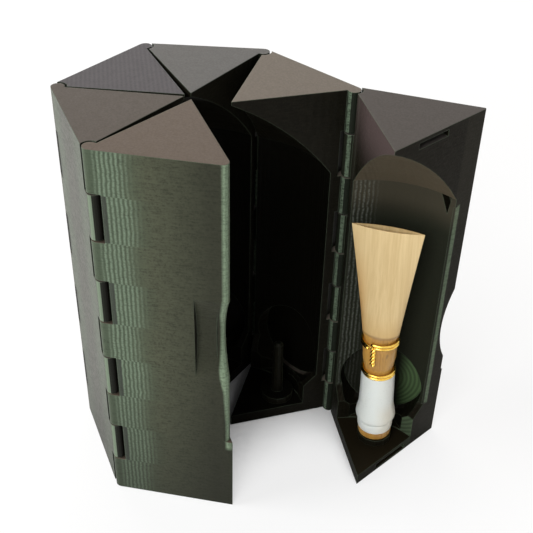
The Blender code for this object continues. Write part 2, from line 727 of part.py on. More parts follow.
def main():
    clear_scene()
    centre = (0.0, 0.0, 0.0)
    left_door_hinge, left_wing_hinge = closed_hinge(180), closed_hinge(120)
    rear_right_hinge = closed_hinge(60)
    right_wing_hinge = closed_hinge(0)
    right_door_hinge = closed_hinge(-60)

    case = add_empty("rear_left", (0.0, -BASE_POINT, 0.0))
    left_wing = add_empty("left_wing", left_wing_hinge, case, -math.radians(OPEN_LEFT_WING))
    left_door = add_empty(
        "left_door", offset(left_wing_hinge, left_door_hinge), left_wing, -math.radians(OPEN_LEFT_DOOR)
    )
    rear_right = add_empty("rear_right", rear_right_hinge, case, math.radians(OPEN_REAR_RIGHT))
    right_wing = add_empty(
        "right_wing", offset(rear_right_hinge, right_wing_hinge), rear_right, math.radians(OPEN_RIGHT_WING)
    )
    right_door = add_empty(
        "right_door", offset(right_wing_hinge, right_door_hinge), right_wing, math.radians(OPEN_RIGHT_DOOR)
    )

    segments = (
        ("left_door", left_door, left_door_hinge, 2, "left_door_hinge_pin"),
        ("left_wing", left_wing, left_wing_hinge, 1, "left_wing_hinge_pin"),
        ("rear_left", case, centre, 0, "rear_hinge_pin"),
        ("rear_right", rear_right, rear_right_hinge, -1, "right_wing_hinge_pin"),
        ("right_wing", right_wing, right_wing_hinge, -2, "right_door_hinge_pin"),
        ("right_door", right_door, right_door_hinge, -3, None),
    )
    pegs_aside = {"right_wing": RIGHT_WING_PEG_ASIDE, "right_door": RIGHT_DOOR_PEG_ASIDE}
    for name, body, hinge, places_round, pin_name in segments:
        first, last = name == "left_door", name == "right_door"
        level = LEFT_SCOOP_LEVEL if first else RIGHT_SCOOP_LEVEL
        aside = pegs_aside.get(name, 0.0)
        shell = add_shell(name + "_shell", not last, not first, level, aside)
        pieces = [shell, add_peg(name + "_peg", aside)]
        if pin_name:
            pieces.append(add_pin(pin_name))
        if first or last:
            pieces += add_magnets(name, -1 if first else 1)
        place(pieces, body, offset(hinge, centre), places_round * SECTOR)
    build_reed(right_door, offset(right_door_hinge, centre), -3 * SECTOR)


main()
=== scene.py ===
import math

import bmesh
import bpy
from mathutils import Matrix, Vector


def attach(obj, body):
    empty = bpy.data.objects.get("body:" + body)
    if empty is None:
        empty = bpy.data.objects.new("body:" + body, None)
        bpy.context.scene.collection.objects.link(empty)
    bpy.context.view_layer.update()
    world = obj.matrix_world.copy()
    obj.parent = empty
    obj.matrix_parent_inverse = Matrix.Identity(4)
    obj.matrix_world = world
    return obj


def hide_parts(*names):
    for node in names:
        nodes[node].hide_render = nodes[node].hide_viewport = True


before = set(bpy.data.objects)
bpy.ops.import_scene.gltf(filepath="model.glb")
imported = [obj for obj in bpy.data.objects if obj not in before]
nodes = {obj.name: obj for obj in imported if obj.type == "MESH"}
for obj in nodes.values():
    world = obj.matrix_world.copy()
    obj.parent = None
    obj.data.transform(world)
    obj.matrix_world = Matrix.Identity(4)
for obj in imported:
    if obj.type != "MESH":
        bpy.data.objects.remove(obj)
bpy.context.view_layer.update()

MM = 0.001
WHITE = (1.0, 1.0, 1.0)

# Lengths are in millimetres, apart from those of the studio and the reed's frame, which are in
# metres. Tints are linear red, green and blue, and a fourth number is how far a tint covers what is
# under it. A range is (from, to), or (from, to, value at from, value at to), as Recipe.span takes it.

# ---- sizes of the case
# Plan position and turn in degrees of each segment's own frame, where +Y points outward, and
# whether the segment is hinged at its +X side and at its -X side
SEGMENTS = {
    "left_door": (-0.5299, -16.8271, 115.1, True, False),
    "left_wing": (-0.4460, -15.2513, 58.8, True, True),
    "rear_left": (0.0, -15.0, 0.0, True, True),
    "rear_right": (0.8215, -15.4535, -57.8, True, True),
    "right_wing": (2.5042, -23.4730, -98.5, True, True),
    "right_door": (5.0884, -56.6790, -72.6, False, True),
}
HALF_SIDE = 13.0
KNUCKLE_HEIGHT = 8.96
KNUCKLE_PITCH = 18.86
HINGE_X = 12.22
HINGE_Y = 21.17
BARREL = (1.55, 1.42)
COS60, SIN60 = 0.5, 0.866

# Parts of the segment's surface, by the direction that they face: up or down, outward or sideways
FLAT = (0.8, 0.95)
OUTER = (0.25, 0.7)
INNER = (0.1, -0.1)
BARREL_FRONT = (-0.955, -0.99)
KNUCKLE_SIDE = (-0.74, -0.86)
GLINT_SIDE = (-0.1, -0.3)
GLINT_FRONT = (0.0, 0.3)
FACES_AXIS = (-0.45, -0.7)
HINGED_SIDE_FACE = ((-0.75, -0.83), (-0.3, -0.42))

# Ringing: ripples beside each hinged corner, by their distance from it
RING_PITCH = 0.83
RING_JITTER = 0.45
RING_START = (1.0, 2.4)
RING_FADE = (5.5, 9.5, 1.0, 0.0)
RING_BREAKS = (0.34, 0.56, 0.35, 1.0)
MINT_ZONE = (11.0, 5.0)
WINDOW_SHIFT = -1.2
BAND_NEAR = (2.2, 2.35)
BAND_FAR = (3.6, 3.3)

# Painted highlight strip on the rounded free edge: across the wall, and by height. It is wider beside the
# finger scoop and narrower low down.
FREE_EDGE = (10.7, 11.2)
EDGE_FACING = (-0.25, 0.45)
EDGE_FADE = (11.7, 12.7, 1.0, 0.45)
EDGE_FOOT = (16.6, 17.6)
SCOOP_LOW = (33.0, 38.0)
SCOOP_HIGH = (56.0, 51.0)
SCOOP_WIDENING = 0.9
LOW_DOWN = (34.0, 24.0)
LOW_NARROWING = -0.5
EDGE_SHADE = (-5.0, 9.0)

# Painted highlight strip up the chamfer of the free side face: along the face, into it, and by height
LIP_NEAR = (21.2, 21.4)
LIP_FAR = (22.35, 22.05)
LIP_DEPTH = (0.75, 0.55)
LIP_TOP = (65.0, 64.4)
LIP_FOOT = (10.9, 11.2)
LIP_SHARE = 0.55

# The hollow, by distance from the segment's inner corner and by height
HOLLOW_WALL = (20.3, 20.6)
HOLLOW_FLOOR = ((20.9, 20.6), (70.0, 60.0))
UNDERSIDE = (5.0, 3.5)
DOME = ((-0.25, -0.5), (60.0, 62.0))
UNDER_DOME = (57.0, 63.5)
RIDGE_HEIGHTS = (62.0, 58.0, 1.0, 0.55)
POCKET_RADIUS = 9.4
POCKET_LEVEL = 14.0
POCKET_EDGE = 0.1
POCKET_BACK = (20.85, 20.95)
POCKET_LIT = (3.2, 5.6)
POCKET_RING_PITCH = 0.95
POCKET_RINGS = (0.1, 0.9, 0.55, 1.0)
FOOT_WALL = (18.05, 17.9)
FOOT_LIT = (5.0, 5.8)
FOOT_TOP = (8.4, 8.1)
WALL_FOOT_HEIGHTS = (36.0, 0.0)
MAUVE_SHEEN_HEIGHTS = (69.0, 84.0)
MAUVE_SHEEN_FADE = (25.0, 15.0, 0.3, 1.0)

# ---- looks of the plastic
# Top faces of each segment, lighter or warmer by the sheen they catch: painted sheen
TOP_TINTS = {
    "left_door": (0.104, 0.079, 0.060),
    "left_wing": (0.075, 0.062, 0.051),
    "rear_left": (0.059, 0.054, 0.058),
    "rear_right": (0.100, 0.097, 0.092),
    "right_wing": (0.151, 0.128, 0.104),
    "right_door": (0.074, 0.065, 0.059),
}
# How strongly each segment shows its ripples: their relief, their painted highlight, and the mint zone of
# painted light beside the hinges
RING_SHARES = {
    "left_door": 1.0,
    "left_wing": 0.3,
    "rear_left": 0.6,
    "rear_right": 0.6,
    "right_wing": 0.6,
    "right_door": 1.0,
}
OLIVE = (0.056, 0.061, 0.038)
WALL_TINTS = {"left_wing": (0.054, 0.054, 0.045)}
SPECULAR = 0.09
SPECULARS = {"right_wing": 0.06, "right_door": 0.05}
WARM_SPECULAR = (1.0, 0.88, 0.70)

# The inside is painted darker than the outer walls: painted shade of the hollow and the side faces
INSIDE_DARK = (0.0036, 0.0031, 0.0018)
INSIDE_LIGHT = (0.0072, 0.0064, 0.0038)
INSIDE_GRAIN = (0.0105, 0.0094, 0.0058, 1.0)
# the hollow's wall: painted shade, and painted light in the right door
HOLLOW_SHADE = (0.0015, 0.0015, 0.001, 0.7)
HOLLOW_LIT = (0.019, 0.022, 0.015, 0.7)
# painted highlight on the real ridges of the hollow wall
RIDGE_HIGHLIGHT = (0.150, 0.165, 0.140, 0.9)
# painted light bounced up from the floor, on the dome and the band under it
UNDER_DOME_LIGHT = (0.085, 0.072, 0.050, 0.4)
DOME_LIGHT = (0.095, 0.078, 0.052, 0.9)
# painted shade in the pocket, and painted light on its far side and on the foot wall
POCKET_SHADE = (0.006, 0.006, 0.004, 0.6)
POCKET_LIGHT = (0.075, 0.125, 0.055, 1.0)
FOOT_LIGHT = (0.070, 0.100, 0.058, 1.0)
MAUVE_SHEEN = (0.056, 0.041, 0.039, 1.0)
BARREL_SHADE = (0.011, 0.014, 0.009, 0.9)
BARREL_HIGHLIGHT = (0.125, 0.170, 0.116, 1.0)
# painted glint and painted shade on the barrels of the hinge
KNUCKLE_GLINT = (0.150, 0.195, 0.135, 0.8)
KNUCKLE_SHADE = (0.006, 0.0055, 0.004, 0.95)
# painted light: a lighter mint zone on the outer walls beside the hinges
MINT_LIGHT = (0.054, 0.076, 0.049, 0.75)
# painted highlight on the real ripples, where glancing light would catch them
RIPPLE_HIGHLIGHT = (0.162, 0.215, 0.150, 0.85)
GRAIN_DARK = (0.020, 0.023, 0.014, 0.55)
# painted shade: the outer walls darker towards their foot
WALL_FOOT_SHADE = (0.018, 0.020, 0.014, 0.55)
EDGE_SHADOW = (0.012, 0.012, 0.008, 0.72)
BAND_GREY = (0.030, 0.032, 0.028, 0.75)
LAYER_LINES = (0.085, 0.080, 0.086, 0.35)
LAYER_PITCH = 0.85
# painted shade on the floor of the hollow and the underside, and painted light there in the right door
FLOOR_SHADE = (0.005, 0.0045, 0.003, 1.0)
FLOOR_LIT = (0.014, 0.011, 0.006, 1.0)
# painted highlight along the edges
EDGE_HIGHLIGHT = (0.110, 0.145, 0.098, 0.55)
# painted highlight on the free edge and the lip
STRIP_HIGHLIGHT = (0.195, 0.260, 0.172, 1.0)
RELIEF = 0.09

# Edges: the radius that they are looked for with, and how far the two normals there agree
EDGE_RADIUS = 0.25
EDGE_AGREEMENT = (0.985, 0.80)

# ---- sizes of the reed, up from its butt
REED_LENGTH = 55.2
SHOULDER = 29.0
BORE_TOP = 20.0
BORE_RADIUS = 1.9
REED_AROUND = 96
WIRE_RADIUS = 0.325
WIRE_PITCH = 0.72
WIRE_TURNS = 1.97
STEPS_PER_TURN = 48
FIRST_WIRE_TOP = 27.62
SECOND_WIRE_TOP = 19.4
TWIST_LEVEL = 27.1
TWIST_SPREAD = 0.30
TWIST_STEPS = 40

# (height, half width) and (height, half depth) of the reed's tube
TUBE_WIDTH = (
    (0, 3.65), (0.3, 3.75), (1.7, 3.75), (2.2, 3.4), (17.6, 3.3), (18.2, 3.08), (19.8, 3.08),
    (20.6, 3.36), (22.4, 3.58), (25.0, 3.70), (26.0, 3.50), (27.8, 3.50), (28.6, 3.88), (29.0, 4.0),
)
TUBE_DEPTH = (
    (0, 3.65), (0.3, 3.75), (1.7, 3.75), (2.2, 3.4), (17.6, 3.3), (18.2, 3.08), (19.8, 3.08),
    (20.6, 3.32), (22.4, 3.46), (25.0, 3.36), (26.0, 3.12), (27.8, 3.05), (28.6, 3.02), (29.0, 3.0),
)

# Radius and height of the white sleeve's outside, and then of its inside from the top down
SLEEVE_PROFILE = (
    (3.46, 1.76), (3.70, 1.78), (3.84, 1.90), (3.92, 2.15), (3.96, 2.6), (3.97, 3.5), (3.94, 3.9),
    (3.88, 4.12), (3.87, 4.28), (3.95, 4.42), (4.12, 4.6), (4.27, 4.85), (4.37, 5.15), (4.42, 5.5),
    (4.40, 5.95), (4.32, 6.5), (4.19, 7.1), (4.04, 7.8), (3.91, 8.6), (3.84, 9.6), (3.81, 11.0),
    (3.77, 13.0), (3.73, 15.0), (3.69, 16.8), (3.67, 17.6), (3.62, 17.9), (3.5, 18.0),
    (3.36, 17.9), (3.36, 1.9),
)

# The reed's own frame in metres: its axis runs from the butt up to the tip
REED_FRAME = Matrix((
    (0.2988301, 0.9541388, -0.0178803, 0.0179443),
    (-0.9535686, 0.2992833, 0.0337105, -0.0532266),
    (0.0375158, 0.0069763, 0.9992717, 0.0049),
    (0.0, 0.0, 0.0, 1.0),
))


# ---- node trees
class Recipe:
    """Node tree of one material, built up call by call."""

    def __init__(self, name):
        self.material = bpy.data.materials.new(name)
        self.material.use_nodes = True
        self.tree = self.material.node_tree
        self.tree.nodes.clear()
        self.shader = self.add("ShaderNodeBsdfPrincipled")
        self.output = self.add("ShaderNodeOutputMaterial")
        self.feed(self.output.inputs["Surface"], self.shader.outputs[0])

    def add(self, kind, **settings):
        node = self.tree.nodes.new(kind)
        for key, value in settings.items():
            setattr(node, key, value)
        return node

    def feed(self, socket, value):
        if isinstance(value, bpy.types.NodeSocket):
            self.tree.links.new(value, socket)
        else:
            socket.default_value = value

    def math(self, operation, *values):
        node = self.add("ShaderNodeMath", operation=operation)
        for socket, value in zip(node.inputs, values):
            self.feed(socket, value)
        return node.outputs[0]

    def times(self, product, *factors):
        for factor in factors:
            product = self.math("MULTIPLY", product, factor)
        return product

    def most(self, values):
        """The greatest of some sockets."""
        greatest = values[0]
        for value in values[1:]:
            greatest = self.math("MAXIMUM", greatest, value)
        return greatest

    def stretched(self, vector, scale):
        node = self.add("ShaderNodeVectorMath", operation="MULTIPLY")
        self.feed(node.inputs[0], vector)
        node.inputs[1].default_value = scale
        return node.outputs[0]

    def coords(self, location=(0, 0, 0), turn=0.0):
        """Object coordinates in a frame of their own, in millimetres."""
        frame_node = self.add("ShaderNodeMapping", vector_type="TEXTURE")
        self.feed(frame_node.inputs["Vector"], self.add("ShaderNodeTexCoord").outputs["Object"])
        frame_node.inputs["Location"].default_value = location
        frame_node.inputs["Rotation"].default_value = (0, 0, turn)
        return self.stretched(frame_node.outputs[0], (1 / MM, 1 / MM, 1 / MM))

    def split(self, vector):
        node = self.add("ShaderNodeSeparateXYZ")
        self.feed(node.inputs[0], vector)
        return node.outputs

    def normal(self):
        """The parts of the surface's direction along X, Y and Z."""
        return self.split(self.add("ShaderNodeTexCoord").outputs["Normal"])

    def distance(self, x, y, centre=(0, 0)):
        """Distance in plan from a centre."""
        plan = self.add("ShaderNodeCombineXYZ")
        self.feed(plan.inputs[0], x)
        self.feed(plan.inputs[1], y)
        node = self.add("ShaderNodeVectorMath", operation="DISTANCE")
        self.feed(node.inputs[0], plan.outputs[0])
        node.inputs[1].default_value = (*centre, 0)
        return node.outputs["Value"]

    def noise(self, vector, scale, detail=2.0, rough=0.5):
        node = self.add("ShaderNodeTexNoise")
        self.feed(node.inputs["Vector"], vector)
        node.inputs["Scale"].default_value = scale
        node.inputs["Detail"].default_value = detail
        node.inputs["Roughness"].default_value = rough
        return node.outputs["Fac"]

    def wave(self, value, pitch):
        """Sine between 0 and 1 along a value in millimetres."""
        sine = self.math("SINE", self.times(value, 2 * math.pi / pitch))
        return self.math("MULTIPLY_ADD", sine, 0.5, 0.5)

    def span(self, value, low, high, to_low=0.0, to_high=1.0, smooth=False):
        """A range of a value brought to another range, and held at its ends."""
        node = self.add("ShaderNodeMapRange", interpolation_type="SMOOTHSTEP" if smooth else "LINEAR")
        self.feed(node.inputs["Value"], value)
        limits = {"From Min": low, "From Max": high, "To Min": to_low, "To Max": to_high}
        for key, number in limits.items():
            node.inputs[key].default_value = number
        return node.outputs["Result"]

    def mix(self, share, a, b):
        node = self.add("ShaderNodeMix", data_type="RGBA")
        self.feed(node.inputs["Factor"], share)
        for socket, value in zip(node.inputs[6:8], (a, b)):
            self.feed(socket, (*value, 1.0) if isinstance(value, tuple) else value)
        return node.outputs[2]

    def lay(self, under, share, tint):
        """A tint with its cover, laid over a colour where the share is 1."""
        return self.mix(self.times(share, tint[3]), under, tint[:3])

    def colour(self, value):
        self.feed(self.shader.inputs["Base Color"], value)

    def rough(self, value):
        self.feed(self.shader.inputs["Roughness"], value)

    def bump(self, height, depth, normal=None):
        """Bump of a height from 0 to 1, where 1 stands this deep in millimetres."""
        node = self.add("ShaderNodeBump")
        node.inputs["Strength"].default_value = 1.0
        node.inputs["Distance"].default_value = depth * MM
        self.feed(node.inputs["Height"], height)
        if normal is not None:
            self.feed(node.inputs["Normal"], normal)
        self.feed(self.shader.inputs["Normal"], node.outputs[0])


class Plastic(Recipe):
    """Dark green printed plastic of one segment, painted in the segment's own frame."""

    def __init__(self, segment, x0, y0, degrees, plus, minus):
        super().__init__(segment + "_print")
        turn = math.radians(degrees)
        self.segment = segment
        self.pictured = segment == "right_door"
        self.local = self.coords((x0 * MM, y0 * MM, 0), turn)
        self.x, self.y, self.z = self.split(self.local)
        nx, ny, self.nz = self.normal()
        self.outward = self.math("MULTIPLY_ADD", ny, math.cos(turn), self.times(nx, -math.sin(turn)))
        self.sideways = self.math("MULTIPLY_ADD", nx, math.cos(turn), self.times(ny, math.sin(turn)))
        self.from_corner = self.distance(self.x, self.y)
        self.flat = self.span(self.math("ABSOLUTE", self.nz), *FLAT)
        self.wall = self.math("SUBTRACT", 1.0, self.flat)
        self.outer = self.span(self.outward, *OUTER)

        # clouds, faint layers and specks
        self.clouds = self.noise(self.local, 0.30, 3.0)
        layers = self.noise(self.stretched(self.local, (0.5, 0.5, 3.4)), 1.0, 2.0, 0.6)
        self.specks = self.noise(self.stretched(self.local, (2.6, 2.6, 2.2)), 1.0, 3.0, 0.65)
        self.grain = self.math("ADD", self.times(layers, 0.45), self.times(self.specks, 0.55))

        self.rings, self.zones, self.barrels = [], [], []
        self.highlight_strip = self.shade = self.band = self.knuckle_shade = self.glint = None
        for side, hinged in ((1, plus), (-1, minus)):
            if hinged:
                self.hinged_side(side)
            else:
                self.free_side(side)
        breaks = self.noise(self.stretched(self.local, (1.6, 1.6, 2.6)), 1.0, 3.0, 0.65)
        self.ringing = self.times(self.most(self.rings), self.wall, self.span(breaks, *RING_BREAKS),
                                  RING_SHARES[segment])
        self.paint()

    def free_side(self, side):
        """The painted highlight strip, on the rounded free edge and up the chamfer, and the painted shade
        towards it.
        """
        aside = self.times(self.x, side)
        scoop = self.times(self.span(self.z, *SCOOP_LOW), self.span(self.z, *SCOOP_HIGH))
        shifted = self.math("MULTIPLY_ADD", scoop, SCOOP_WIDENING, aside)
        shifted = self.math("MULTIPLY_ADD", self.span(self.z, *LOW_DOWN), LOW_NARROWING, shifted)
        edge = self.times(self.span(shifted, *FREE_EDGE), self.span(self.outward, *EDGE_FACING),
                          self.span(aside, *EDGE_FADE), self.span(self.z, *EDGE_FOOT))
        along = self.math("MULTIPLY_ADD", self.x, COS60 * side, self.times(self.y, SIN60))
        depth = self.math("MULTIPLY_ADD", self.x, -SIN60 * side, self.times(self.y, COS60))
        lip = self.times(self.span(along, *LIP_NEAR), self.span(along, *LIP_FAR),
                         self.span(depth, *LIP_DEPTH), self.span(self.z, *LIP_TOP), LIP_SHARE)
        self.highlight_strip = self.times(self.most((edge, lip)), self.span(self.z, *LIP_FOOT))
        self.shade = self.span(aside, *EDGE_SHADE)

    def hinged_side(self, side):
        """Ripples and a mint zone of painted light beside the hinge, the barrels, and what the windows do
        to either side: a grey band beside them, and painted shade and a painted glint on the barrels.
        """
        away = self.math("MULTIPLY_ADD", self.x, -side, HALF_SIDE)
        if side > 0:
            # a grey band beside each window, with the ripples beyond it
            step = self.math("MODULO", self.z, KNUCKLE_PITCH)
            window = self.math("GREATER_THAN", step, KNUCKLE_HEIGHT)
            self.band = self.times(self.span(away, *BAND_NEAR), self.span(away, *BAND_FAR),
                                   window, self.outer)
            away = self.math("MULTIPLY_ADD", window, WINDOW_SHIFT, away)
        drift = self.noise(self.stretched(self.local, (0.25, 0.25, 0.7)), 1.0, 2.0)
        ragged = self.math("MULTIPLY_ADD", drift, RING_JITTER, away)
        self.rings.append(self.times(self.wave(ragged, RING_PITCH),
                                     self.span(ragged, *RING_FADE, smooth=True),
                                     self.span(away, *RING_START)))
        self.zones.append(self.span(away, *MINT_ZONE))
        barrel = self.span(self.distance(self.x, self.y, (side * HINGE_X, HINGE_Y)), *BARREL)
        self.barrels.append(barrel)
        if side < 0:
            # painted shade: the neighbour's windows leave half of each barrel in the dark, with a painted
            # glint beside it
            self.knuckle_shade = self.times(barrel, self.span(self.sideways, *KNUCKLE_SIDE))
            self.glint = self.times(barrel, self.span(self.sideways, *GLINT_SIDE),
                                    self.span(self.outward, *GLINT_FRONT))

    def inside(self):
        """The hollow, the side faces and the rest of the inside, in painted shade darker than the outer
        walls.
        """
        inside = self.mix(self.clouds, INSIDE_DARK, INSIDE_LIGHT)
        inside = self.lay(inside, self.span(self.grain, 0.42, 0.62), INSIDE_GRAIN)
        facing = self.span(self.outward, *FACES_AXIS)
        hollow = self.times(self.span(self.from_corner, *HOLLOW_WALL), facing)
        # painted light on the right door's hollow wall, painted shade in the others
        inside = self.lay(inside, hollow, HOLLOW_LIT if self.pictured else HOLLOW_SHADE)
        if self.pictured:
            # painted highlights on the ridges of the hollow wall
            ridges = self.times(self.math("POWER", self.ringing, 2.0), hollow,
                                self.span(self.z, *RIDGE_HEIGHTS))
            inside = self.lay(inside, ridges, RIDGE_HIGHLIGHT)
            # painted light from the floor below, under the dome and on it
            under_dome = self.times(hollow, self.span(self.z, *UNDER_DOME, smooth=True))
            inside = self.lay(inside, under_dome, UNDER_DOME_LIGHT)
            inside = self.pocket_and_foot(inside, facing)
            # the hinged side face, with a painted mauve sheen up near its top edge
            beside = self.times(self.span(self.sideways, *HINGED_SIDE_FACE[0]),
                                self.span(self.outward, *HINGED_SIDE_FACE[1]),
                                self.span(self.z, *MAUVE_SHEEN_HEIGHTS, smooth=True),
                                self.span(self.from_corner, *MAUVE_SHEEN_FADE))
            inside = self.lay(inside, beside, MAUVE_SHEEN)
            dome = self.times(self.span(self.nz, *DOME[0]), self.span(self.z, *DOME[1]))
            inside = self.lay(inside, dome, DOME_LIGHT)
        if self.segment in ("right_wing", "right_door"):
            # the opened hinge, seen from within: barrels in painted shade with a painted highlight line
            # up each
            inner = self.times(self.most(self.barrels), self.span(self.outward, *INNER))
            inside = self.lay(inside, inner, BARREL_SHADE)
            line = self.times(inner, self.span(self.outward, *BARREL_FRONT),
                              self.span(self.grain, 0.36, 0.58))
            inside = self.lay(inside, line, BARREL_HIGHLIGHT)
        return inside

    def pocket_and_foot(self, inside, facing):
        """The round pocket in painted shade, with painted light on the real rings of its far side, and
        painted light on the upright wall at the hollow's foot.
        """
        up = self.math("SUBTRACT", self.z, POCKET_LEVEL)
        disc = self.math("SQRT", self.math("MULTIPLY_ADD", self.x, self.x, self.times(up, up)))
        pocket = self.times(self.span(disc, POCKET_RADIUS + POCKET_EDGE, POCKET_RADIUS - POCKET_EDGE),
                            facing, self.span(self.from_corner, *POCKET_BACK))
        inside = self.lay(inside, pocket, POCKET_SHADE)
        rings = self.span(self.wave(disc, POCKET_RING_PITCH), *POCKET_RINGS)
        inside = self.lay(inside, self.times(pocket, self.span(self.x, *POCKET_LIT), rings), POCKET_LIGHT)
        foot = self.times(self.span(self.from_corner, *FOOT_WALL), self.span(self.x, *FOOT_LIT),
                          self.span(self.z, *FOOT_TOP), facing)
        return self.lay(inside, self.times(foot, rings), FOOT_LIGHT)

    def outside(self):
        """The outer walls: olive in the middle, and beside the hinges a mint zone of painted light with
        painted highlights on the ripples, with painted shade towards the foot and the free edge.
        """
        plain = WALL_TINTS.get(self.segment, OLIVE)
        dark, light, pale = (tuple(level * part for part in plain) for level in (0.82, 1.14, 1.7))
        skin = self.mix(self.clouds, dark, light)
        skin = self.mix(self.span(self.grain, 0.40, 0.62, 0.0, 0.55), skin, pale)
        skin = self.lay(skin, self.times(self.most(self.zones), RING_SHARES[self.segment]), MINT_LIGHT)
        skin = self.lay(skin, self.span(self.grain, 0.47, 0.32), GRAIN_DARK)
        skin = self.lay(skin, self.ringing, RIPPLE_HIGHLIGHT)
        skin = self.lay(skin, self.span(self.z, *WALL_FOOT_HEIGHTS), WALL_FOOT_SHADE)
        if self.shade is not None:
            skin = self.lay(skin, self.shade, EDGE_SHADOW)
        if self.band is not None:
            skin = self.lay(skin, self.band, BAND_GREY)
        return skin

    def tops(self):
        """The flat faces: the top, in each segment's tint of painted sheen, and the darker floor of the
        hollow and underside in painted shade, with painted light on it in the right door.
        """
        tint = TOP_TINTS[self.segment]
        top = self.mix(self.span(self.specks, 0.3, 0.7), tuple(0.8 * part for part in tint), tint)
        if self.segment == "rear_left":
            # the lines of the first layer, laid down across this segment
            across = self.math("MULTIPLY_ADD", self.x, -0.707, self.times(self.y, 0.707))
            top = self.lay(top, self.wave(across, LAYER_PITCH), LAYER_LINES)
        floor = self.times(self.span(self.from_corner, *HOLLOW_FLOOR[0]),
                           self.span(self.z, *HOLLOW_FLOOR[1]))
        floor = self.most((floor, self.span(self.z, *UNDERSIDE)))
        return self.lay(top, floor, FLOOR_LIT if self.pictured else FLOOR_SHADE)

    def paint(self):
        """Put the colours together, and set the gloss and the relief."""
        # edges, where the plastic catches the light: a painted highlight
        soft = self.add("ShaderNodeBevel", samples=6)
        soft.inputs["Radius"].default_value = EDGE_RADIUS * MM
        sharpness = self.add("ShaderNodeVectorMath", operation="DOT_PRODUCT")
        self.feed(sharpness.inputs[0], soft.outputs[0])
        self.feed(sharpness.inputs[1], self.add("ShaderNodeNewGeometry").outputs["Normal"])
        edge = self.span(sharpness.outputs["Value"], *EDGE_AGREEMENT)

        tone = self.mix(self.outer, self.inside(), self.outside())
        if self.knuckle_shade is not None:
            tone = self.lay(tone, self.glint, KNUCKLE_GLINT)
            tone = self.lay(tone, self.knuckle_shade, KNUCKLE_SHADE)
        tone = self.mix(self.flat, tone, self.tops())
        tone = self.lay(tone, edge, EDGE_HIGHLIGHT)
        # the painted highlight strip, mottled by the grain
        if self.highlight_strip is not None:
            mottled = self.times(self.highlight_strip, self.wall, self.span(self.grain, 0.38, 0.58, 0.55, 1.0))
            tone = self.lay(tone, mottled, STRIP_HIGHLIGHT)
        self.colour(tone)
        self.rough(self.span(self.grain, 0.3, 0.7, 0.54, 0.40))
        height = self.math("ADD", self.times(self.grain, self.wall, 0.6), self.times(self.ringing, 0.55))
        self.bump(height, RELIEF, soft.outputs[0])
        sockets = self.shader.inputs
        sockets["Specular IOR Level"].default_value = SPECULARS.get(self.segment, SPECULAR)
        sockets["Specular Tint"].default_value = (*(WARM_SPECULAR if self.pictured else WHITE), 1.0)


def brushed_metal(name, low, high, roughness):
    r = Recipe(name)
    grain = r.noise(r.stretched(r.coords(), (6.0, 6.0, 0.4)), 1.0, 3.0)
    r.colour(r.mix(r.span(grain, 0.3, 0.7), low, high))
    r.rough(r.span(grain, 0.3, 0.7, roughness - 0.07, roughness + 0.1))
    r.shader.inputs["Metallic"].default_value = 1.0
    r.bump(grain, 0.01)
    return r.material


def cane_material():
    """Pale scraped blades with a grain along them, and glossy orange bark below the collar."""
    r = Recipe("cane_grain")
    local = r.coords()
    x, _, z = r.split(local)
    fibre = r.noise(r.stretched(local, (3.2, 3.2, 0.05)), 1.0, 3.0, 0.6)
    broad = r.noise(r.stretched(local, (0.55, 0.55, 0.035)), 1.0, 2.0)
    tone = r.math("ADD", r.times(fibre, 0.5), r.times(broad, 0.5))
    bark_line = r.math("MULTIPLY_ADD", r.noise(local, 0.5, 2.0), 0.5, z)

    # blades: browner low down and along their left edge
    blade = r.mix(r.span(tone, 0.34, 0.66), (0.62, 0.44, 0.20), (0.76, 0.58, 0.30))
    blade = r.lay(blade, r.span(z, SHOULDER + 6.0, SHOULDER + 0.5), (0.56, 0.34, 0.11, 0.6))
    left = r.times(r.span(x, -2.6, -4.6), r.span(z, 50.0, 34.0))
    blade = r.lay(blade, left, (0.58, 0.29, 0.07, 0.75))

    # bark: specks, and painted light down its left side
    bark = r.mix(r.span(tone, 0.36, 0.64), (0.33, 0.150, 0.022), (0.53, 0.295, 0.065))
    specks = r.noise(r.stretched(local, (1.3, 1.3, 0.35)), 1.0, 3.0)
    bark = r.lay(bark, r.span(specks, 0.60, 0.70), (0.17, 0.085, 0.03, 0.5))
    bark = r.lay(bark, r.span(x, 0.5, -3.2), (0.70, 0.38, 0.09, 0.6))
    barked = r.span(bark_line, SHOULDER + 0.55, SHOULDER + 0.2)
    body = r.mix(barked, blade, bark)

    # the dark line of the collar, splits at the butt, and the edge of the mouth
    collar = r.times(r.span(bark_line, SHOULDER + 0.1, SHOULDER + 0.35),
                     r.span(bark_line, SHOULDER + 0.8, SHOULDER + 0.5))
    body = r.lay(body, collar, (0.24, 0.13, 0.045, 0.6))
    splits = r.times(r.span(fibre, 0.56, 0.62), r.span(z, 1.8, 1.7))
    body = r.lay(body, splits, (0.09, 0.045, 0.012, 0.8))
    mouth = r.times(r.span(r.normal()[2], 0.45, 0.8), r.span(z, REED_LENGTH - 1.0, REED_LENGTH - 0.5))
    r.colour(r.lay(body, mouth, (0.42, 0.23, 0.07, 0.85)))
    r.rough(r.span(barked, 0.0, 1.0, 0.55, 0.32))
    r.bump(fibre, 0.02)
    return r.material


